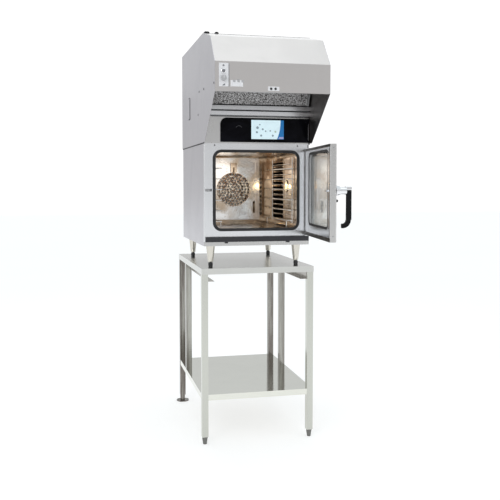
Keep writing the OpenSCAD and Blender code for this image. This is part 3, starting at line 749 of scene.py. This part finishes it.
def plaque_dashes():
    """Three plain raised dashes on the blank plaque beside the label plate."""
    a = low("hood_labels")
    start = high("hood_button").x + 37 * MM
    bars = []
    for i in range(3):
        x = start + 20 * i * MM
        top = a.z + (45 + 3 * (i % 2)) * MM
        bars.append(block("dash", (x, a.y, a.z + 34 * MM), (x + 12 * MM, a.y + 1 * MM, top)))
    done(joined("plaque_dashes", bars), "carcase", DIAL_GREY, 0.4 * MM)


plaque_dashes()


# ---- dark joint between hood and oven, and painted shadow round the hood's service cover ----

def dark_joint_and_cover_shadow():
    hood_low, hood_high = low("hood_sides"), high("hood_sides")
    body_low, body_high = low("side_panels"), high("side_panels")
    strips = []
    for edge, out in ((hood_low.x + COVER_RISE, -1), (hood_high.x, 1)):
        x0, x1 = sorted((edge - out * 6 * MM, edge + out * 0.5 * MM))
        strips.append(block("joint", (x0, body_low.y, body_high.z - 2 * MM),
                            (x1, body_high.y, body_high.z + 2.5 * MM)))
    # painted shadow: four dark strips round the raised service cover, for the shade along its edges
    fore = low("hood_canopy").y + 753 * MM
    back = fore + 159 * MM
    foot = low("grease_gutter").z + 15 * MM
    head = foot + 112 * MM
    x0, x1 = hood_low.x + 1 * MM, hood_low.x + 3.5 * MM
    gap, lap = 4 * MM, 40 * MM
    for y0, y1, z0, z1 in (
        (fore - gap, fore, foot, head),
        (back, back + gap, foot, head),
        (fore, fore + lap, foot - gap, foot),
        (fore, fore + lap, head, head + gap),
    ):
        strips.append(block("joint", (x0, y0, z0), (x1, y1, z1)))
    done(joined("dark_joint_and_cover_shadow", strips), "carcase", GASKET, 0.3 * MM)


dark_joint_and_cover_shadow()


# ---- screws: domed heads with a round drive hollow ----

def screw_head(centre, outward, radius, rise=2 * MM):
    return turned("screw", centre, outward, [
        (0, 0), (0, radius), (rise * 0.45, radius), (rise * 0.85, radius * 0.7), (rise, radius * 0.4),
        (rise * 0.55, radius * 0.3), (rise * 0.55, 0),
    ], 18)


def outer_screws():
    """Two heads on the front frame, and four on each side of the hood."""
    frame_low, frame_high = low("front_frame"), high("front_frame")
    heads = []
    for x in (-220, 212):
        place = (CENTRE + x * MM, frame_low.y, frame_high.z - 10 * MM)
        heads.append(screw_head(place, (0, -1, 0), 4 * MM))
    front = low("hood_canopy").y
    top = high("hood_canopy").z
    for side, edge in ((-1, low("hood_sides").x + COVER_RISE), (1, high("hood_sides").x)):
        for depth, drop in ((17, 283), (296, 278), (436, 275), (470, 389)):
            place = (edge, front + depth * MM, top - drop * MM)
            heads.append(screw_head(place, (side, 0, 0), 6 * MM))
    piece = done(joined("outer_screw_heads", heads), "carcase", DARK_SCREW)
    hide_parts("panel_screws")


outer_screws()


# ---- door: edge screws, strips of painted shade and handle stop ----

def door_turn(point):
    """Moves a point drawn on the closed door to where the open door holds it."""
    hinge = Vector(joint("door_hinge")["pos_m"])
    hinge.z = 0
    swing = Matrix.Rotation(DOOR_OPEN, 4, "Z")
    return Matrix.Translation(hinge) @ swing @ Matrix.Translation(-hinge) @ Vector(point)


def door_edge_screws():
    hinge = Vector(joint("door_hinge")["pos_m"])
    edge_x = hinge.x - DOOR_REACH
    depth = hinge.y - 7 * MM
    outward = door_turn((edge_x - 1, depth, 0)) - door_turn((edge_x, depth, 0))
    heads = []
    for z in (low("door_shell").z + 26 * MM, high("door_shell").z - 18 * MM):
        heads.append(screw_head(door_turn((edge_x, depth, z)), outward, 4 * MM, 0.7 * MM))
    done(joined("door_edge_screws", heads), "door", TURNED_STEEL)


door_edge_screws()


def door_rim():
    """Dark strips of painted shade round the door's inner face and down the frame's hinge edge."""
    hinge = Vector(joint("door_hinge")["pos_m"])
    x0, x1 = hinge.x - DOOR_REACH, hinge.x + DOOR_HEEL
    z0, z1 = low("door_shell").z, high("door_shell").z
    face = hinge.y + DOOR_FACE
    foot, head = z0 + 16 * MM, z1 - 10 * MM
    strips = []
    for left, right, bottom, top in (
        (x0, x1, z1 - 13 * MM, z1 - 1 * MM),
        (x0, x1, z0 + 1 * MM, z0 + 19 * MM),
        (x1 - 10 * MM, x1 - 1 * MM, foot, head),
        (x0 + 2 * MM, x0 + 10 * MM, foot, head),
    ):
        strips.append(block("strip", (left, face - 0.5 * MM, bottom), (right, face + 0.12 * MM, top)))
    rim = joined("door_rim_painted_shade", strips)
    for point in rim.data.vertices:
        point.co = door_turn(point.co)
    done(rim, "door", RIM_SHADE, 0.05 * MM)
    a, b = low("front_frame"), high("front_frame")
    # painted shade: a dark strip down the frame's hinge edge for the shadow between door and frame
    gap = block("hinge_edge_painted_shade", (b.x - 9 * MM, a.y - 0.3 * MM, a.z + 50 * MM),
                (b.x - 4 * MM, a.y + 1 * MM, b.z - 3 * MM))
    done(gap, "carcase", RIM_SHADE, 0.2 * MM)


door_rim()


def handle_stop():
    """The small dark stop pin on the door's face under the handle flange."""
    lock = Vector(joint("handle_turn")["pos_m"])
    outward = door_turn((0, -1, 0)) - door_turn((0, 0, 0))
    point = lock - Vector((0, 0, 45 * MM))
    pin = turned("handle_stop", point, outward, mm(
        (-1, 0), (-1, 6.5), (8, 6.5), (11, 5), (12, 3), (12, 0),
    ), 24)
    done(pin, "door", FOOT_GREY)


handle_stop()


# ---- cavity: lamp bezel, keeper wires on the racks, dark plates of painted shade behind the air slots ----

def lamp_bezel():
    inner = low("cavity_lamp").x
    centre = (inner, middle("cavity_lamp").y, middle("cavity_lamp").z)
    ring = turned("lamp_bezel", centre, (-1, 0, 0), mm(
        (-0.5, 26), (-0.5, 34), (1.5, 34), (3, 32.5), (3, 28),
        (1.5, 26), (-0.5, 26),
    ), 48)
    done(ring, "carcase", CAVITY)


lamp_bezel()


def upper_wires(side, node_name, body):
    """Thin keeper wires above the rails on the wall side of a rack, one to a level."""
    a, b = low(node_name), high(node_name)
    x = (a.x if side < 0 else b.x) - side * 3 * MM
    wires = []
    for i in range(RACK_LEVELS):
        z = a.z + (59 + 54 * i) * MM
        start = Vector((x, a.y + 26 * MM, z))
        wires.append(turned("wire", start, (0, 1, 0), mm(
            (0, 0), (0, 1.8), (1, 2), (405, 2), (406, 1.8), (406, 0),
        ), 16))
    done(joined(node_name + "_upper_wires", wires), body, CHROME)


upper_wires(-1, "rack_left", "left_rack")
upper_wires(1, "rack_right", "right_rack")


def slot_shade_plates():
    """A dark plate of painted shade behind each air slot, seen through it."""
    a, b = low("side_air_panel"), high("side_air_panel")
    parts = []
    for i in range(AIR_SLOTS):
        z = a.z + (4 + 26.1 * i) * MM
        parts.append(block("lining", (b.x - 1.3 * MM, a.y + 7 * MM, z),
                           (b.x - 0.3 * MM, b.y - 7 * MM, z + 21 * MM)))
    done(joined("air_slot_painted_shade", parts), "carcase", SLOT_SHADE, 0.2 * MM)


slot_shade_plates()


# ---- grease filter: a pad of knitted wire ----

def filter_pad():
    """The mesh block, cut fine and sunk into loose loops of wire between the frame bars."""
    source = NODES["filter_mesh"]
    pad = bpy.data.objects.new("filter_knit", source.data.copy())
    bpy.context.collection.objects.link(pad)
    start_clean()
    pad.select_set(True)
    bpy.context.view_layer.objects.active = pad
    bpy.ops.object.mode_set(mode="EDIT")
    bpy.ops.mesh.select_all(action="SELECT")
    bpy.ops.mesh.remove_doubles(threshold=0.00001)
    bpy.ops.mesh.tris_convert_to_quads()
    bpy.ops.mesh.subdivide(number_cuts=40)
    bpy.ops.object.mode_set(mode="OBJECT")
    loops = bpy.data.textures.new("wire_loops", "VORONOI")
    loops.noise_scale = 0.007
    mod = pad.modifiers.new("loops", "DISPLACE")
    mod.texture = loops
    mod.texture_coords = "LOCAL"
    mod.strength = -2.5 * MM
    mod.mid_level = 0.0
    bpy.ops.object.modifier_apply(modifier=mod.name)
    done(pad, "grease_filter", KNIT, angle=80)
    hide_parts("filter_mesh")


filter_pad()


# ---- hood inside: dark strips of painted shadow along the gutter, polished inner faces on the sides darkened as painted shade ----

def gutter_shadow_strips():
    a, b = low("grease_gutter"), high("grease_gutter")
    # painted shadow: a dark strip under the gutter lip for the shade beneath it
    under = block("gutter_painted_shadow", (a.x, a.y + 9 * MM, a.z + 22 * MM),
                  (b.x, a.y + 12 * MM, a.z + 28.5 * MM))
    done(under, "carcase", GASKET, 0.8 * MM)
    # painted shadow: a dark strip at the filter's foot for the shade just above the gutter lip
    strip = block("filter_foot_painted_shadow", (low("filter_frame").x, a.y + 3 * MM, a.z + 45 * MM),
                  (high("filter_frame").x, a.y + 5 * MM, a.z + 54 * MM))
    done(strip, "grease_filter", GASKET, 0.5 * MM)


gutter_shadow_strips()


def hood_cheeks():
    """Polished inner skins, darkened as painted shade, taken from the inward faces of the hood's two
    sides.
    """
    inside = high("hood_canopy").x - CENTRE
    skins = bpy.data.objects.new("hood_inner_skins", NODES["hood_sides"].data.copy())
    bpy.context.collection.objects.link(skins)
    start_clean()
    skins.select_set(True)
    bpy.context.view_layer.objects.active = skins
    bpy.ops.object.mode_set(mode="EDIT")
    bpy.ops.mesh.select_all(action="SELECT")
    bpy.ops.mesh.remove_doubles(threshold=0.00001)
    bpy.ops.object.mode_set(mode="OBJECT")
    pick_faces(skins, lambda face: abs(abs(face.center.x - CENTRE) - inside) > 0.2 * MM
               or (face.center.x - CENTRE) * face.normal.x > 0)
    bpy.ops.mesh.delete(type="FACE")
    bpy.ops.object.mode_set(mode="OBJECT")
    mod = skins.modifiers.new("thick", "SOLIDIFY")
    mod.thickness = 0.2 * MM
    mod.offset = 1
    bpy.ops.object.modifier_apply(modifier=mod.name)
    done(skins, "carcase", SHADED_CHEEK)


hood_cheeks()


# ---- turned front feet of the stand ----

def front_feet():
    a, b = low("levelling_feet"), high("levelling_feet")
    for side, hand in ((-1, "left"), (1, "right")):
        x = (b.x if side > 0 else a.x) - side * 15 * MM
        centre = (x, middle("levelling_feet").y, a.z)
        foot = turned("front_foot_" + hand, centre, (0, 0, 1), mm(
            (0, 0), (0, 9), (1, 10), (5, 10), (6, 9), (7, 10.5),
            (34, 14.5), (38, 14.5), (38, 0),
        ))
        done(foot, "carcase", STAND_FOOT)
        if side > 0:
            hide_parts("levelling_feet")


front_feet()


# ---- back and roof fittings ----

def rear_fittings():
    cover = high("rear_cover").y - 6 * MM
    a, b = low("rear_cover"), high("rear_cover")
    heads = []
    for x in (a.x + 12 * MM, b.x - 12 * MM):
        for i in range(5):
            heads.append(screw_head((x, cover, a.z + (20 + i * 118) * MM), (0, 1, 0), 4 * MM))
    done(joined("rear_cover_screws", heads), "carcase", TURNED_STEEL)
    tag = block("rating_plate", (CENTRE + 40 * MM, cover, a.z + 50 * MM),
                (CENTRE + 120 * MM, cover + 0.8 * MM, a.z + 105 * MM))
    recess(tag, (0, 1, 0), 3 * MM, 0.3 * MM)
    done(tag, "carcase", LABEL, 0.2 * MM)
    inlet = middle("water_inlet")
    end = high("water_inlet").y
    crest, root, bore = 13.2, 12.4, 9.4
    threads = [(0, crest)]
    for i in range(7):
        threads += [(2 + 2 * i, crest), (3 + 2 * i, root)]
    threads += [(16, 13.0), (17.5, 12.2), (17.5, bore), (0, bore), (0, crest)]
    # a touch wider than the inlet's own pipe, so that the two never share a surface
    clear = 1.004
    screw = turned("inlet_thread", (inlet.x, end - 18 * MM, inlet.z), (0, 1, 0),
                   [(d * MM, r * MM * clear) for d, r in threads], 40)
    done(screw, "carcase", BRASS)
    gland = middle("cable_gland")
    nut = turned("gland_nut", (gland.x, high("cable_gland").y - 16 * MM, gland.z), (0, 1, 0), mm(
        (0, 15.4), (0, 17), (9, 17), (10, 16), (10, 15.4), (0, 15.4),
    ), 6)
    done(nut, "carcase", BLACK, 0.4 * MM)


rear_fittings()


def hood_back_and_roof():
    a, b = low("hood_roof"), high("hood_roof")
    heads = []
    for x in (a.x + 14 * MM, b.x - 14 * MM):
        for i in range(5):
            heads.append(screw_head((x, b.y, a.z + (25 + i * 120) * MM), (0, 1, 0), 4.5 * MM))
        for i in range(6):
            heads.append(screw_head((x, a.y + (25 + i * 135) * MM, b.z), (0, 0, 1), 4.5 * MM))
    done(joined("hood_screws", heads), "carcase", TURNED_STEEL)
    spigot = middle("exhaust_housing")
    top = high("exhaust_housing").z
    bead = turned("spigot_bead", (spigot.x, spigot.y, top - 14 * MM), (0, 0, 1), mm(
        (0, 74.6), (1, 76.2), (3, 76.8), (5, 76.2), (6, 74.6), (0, 74.6),
    ), 64)
    done(bead, "carcase", GALVANISED)
    collar = turned("spigot_flange", (spigot.x, spigot.y, b.z), (0, 0, 1), mm(
        (0, 74.8), (0, 94), (1.2, 94), (1.6, 92), (1.6, 74.8), (0, 74.8),
    ), 64)
    done(collar, "carcase", GALVANISED)
    seam = block("crown_seam", (a.x, a.y - 2 * MM, b.z - 1 * MM), (b.x, a.y + 2 * MM, b.z + 1.2 * MM))
    done(seam, "carcase", KNOB_GREY, 0.4 * MM)
    clips = []
    for x, long in ((a.x + 8 * MM, 26), (a.x + 62 * MM, 18)):
        clip = block("clip", (x, a.y + 4 * MM, b.z), (x + long * MM, a.y + 30 * MM, b.z + 9 * MM))
        recess(clip, (0, 0, 1), 3 * MM, -3 * MM)
        clips.append(clip)
    done(joined("roof_clips", clips), "carcase", BLACK, 1 * MM)


hood_back_and_roof()


# ---- floor, light and camera ----

def studio():
    """A pale paper floor, and a room that lights softly from above but is seen as plain white."""
    start_clean()
    bpy.ops.mesh.primitive_plane_add(size=60, location=(0, 0, 0))
    floor = bpy.context.object
    floor.name = "studio_floor"
    paper = Finish("studio_paper")
    marks = paper.effect(SMUDGE, Scale=0.5)
    paper.colour(marks.outputs["Smudge"], (0.52, 0.52, 0.52), (0.51, 0.51, 0.51))
    paper.set(Roughness=0.9, Emission_Color=(1, 1, 1, 1), Emission_Strength=0.55)
    floor.data.materials.append(paper.look)

    world = bpy.data.worlds.new("studio_room")
    bpy.context.scene.world = world
    world.use_nodes = True
    tree = world.node_tree
    back = tree.nodes["Background"]
    back.inputs["Strength"].default_value = 1.0
    place = tree.nodes.new("ShaderNodeTexCoord")
    parts = tree.nodes.new("ShaderNodeSeparateXYZ")
    ramp = tree.nodes.new("ShaderNodeValToRGB")
    ramp.color_ramp.elements[0].position = 0.5
    ramp.color_ramp.elements[0].color = (0.60, 0.59, 0.59, 1)
    ramp.color_ramp.elements[1].position = 0.85
    ramp.color_ramp.elements[1].color = (0.82, 0.88, 0.90, 1)
    seen = tree.nodes.new("ShaderNodeLightPath")
    white = node(tree, "ShaderNodeMix", data_type="RGBA")
    white.inputs[MIX_SECOND].default_value = (1.1, 1.1, 1.1, 1)
    tree.links.new(place.outputs["Generated"], parts.inputs[0])
    tree.links.new(ranged(tree, parts.outputs["Z"], -1, 1), ramp.inputs["Fac"])
    tree.links.new(seen.outputs["Is Camera Ray"], white.inputs["Factor"])
    tree.links.new(ramp.outputs["Color"], white.inputs[MIX_FIRST])
    tree.links.new(white.outputs[MIX_RESULT], back.inputs["Color"])


def softbox(name, place, aim, size, power):
    light = bpy.data.lights.new(name, "AREA")
    light.shape = "RECTANGLE"
    light.size, light.size_y = size
    light.energy = power
    obj = bpy.data.objects.new(name, light)
    bpy.context.collection.objects.link(obj)
    obj.location = place
    obj.rotation_euler = (Vector(aim) - Vector(place)).to_track_quat("-Z", "Y").to_euler()


def glow(name, place, power, colour, radius):
    light = bpy.data.lights.new(name, "POINT")
    light.energy = power
    light.color = colour
    light.shadow_soft_size = radius
    obj = bpy.data.objects.new(name, light)
    bpy.context.collection.objects.link(obj)
    obj.location = place


studio()
OVEN_AIM = (0, 0, 1.2)
softbox("key_softbox", (-2.6, -3.6, 3.4), OVEN_AIM, (1.8, 2.4), 46)
softbox("fill_softbox", (3.2, -2.6, 1.8), OVEN_AIM, (1.2, 2.6), 14)
softbox("top_softbox", (0.2, -0.8, 4.6), (0, 0, 0), (2.6, 2.6), 11)
softbox("back_softbox", (0.5, 4.0, 3.2), OVEN_AIM, (2.4, 2.0), 13)
lamp_front = (low("cavity_lamp").x - 0.012, middle("cavity_lamp").y, middle("cavity_lamp").z)
glow("cavity_lamp_light", lamp_front, 0.05, (1.0, 0.76, 0.38), 0.011)
under_ceiling = (middle("cavity_liner").x, low("cavity_liner").y + 0.12, high("cavity_liner").z - 0.11)
glow("cavity_warm_light", under_ceiling, 0.30, (1.0, 0.90, 0.78), 0.10)

# The camera's place: to the left of the oven's middle, in front of its face, and above the floor
EYE_ASIDE, EYE_AWAY, EYE_UP = 0.9112, 3.7525, 1.3166

camera = bpy.data.cameras.new("studio_camera")
camera.sensor_width = 36
camera.lens = 54.6
camera.shift_y = -0.052
viewer = bpy.data.objects.new("studio_camera", camera)
bpy.context.collection.objects.link(viewer)
viewer.location = (middle("side_panels").x - EYE_ASIDE, low("front_frame").y - EYE_AWAY, EYE_UP)
viewer.rotation_euler = (math.radians(87.0), 0, math.radians(-13.1))
bpy.context.scene.camera = viewer
bpy.context.scene.view_settings.view_transform = "Standard"
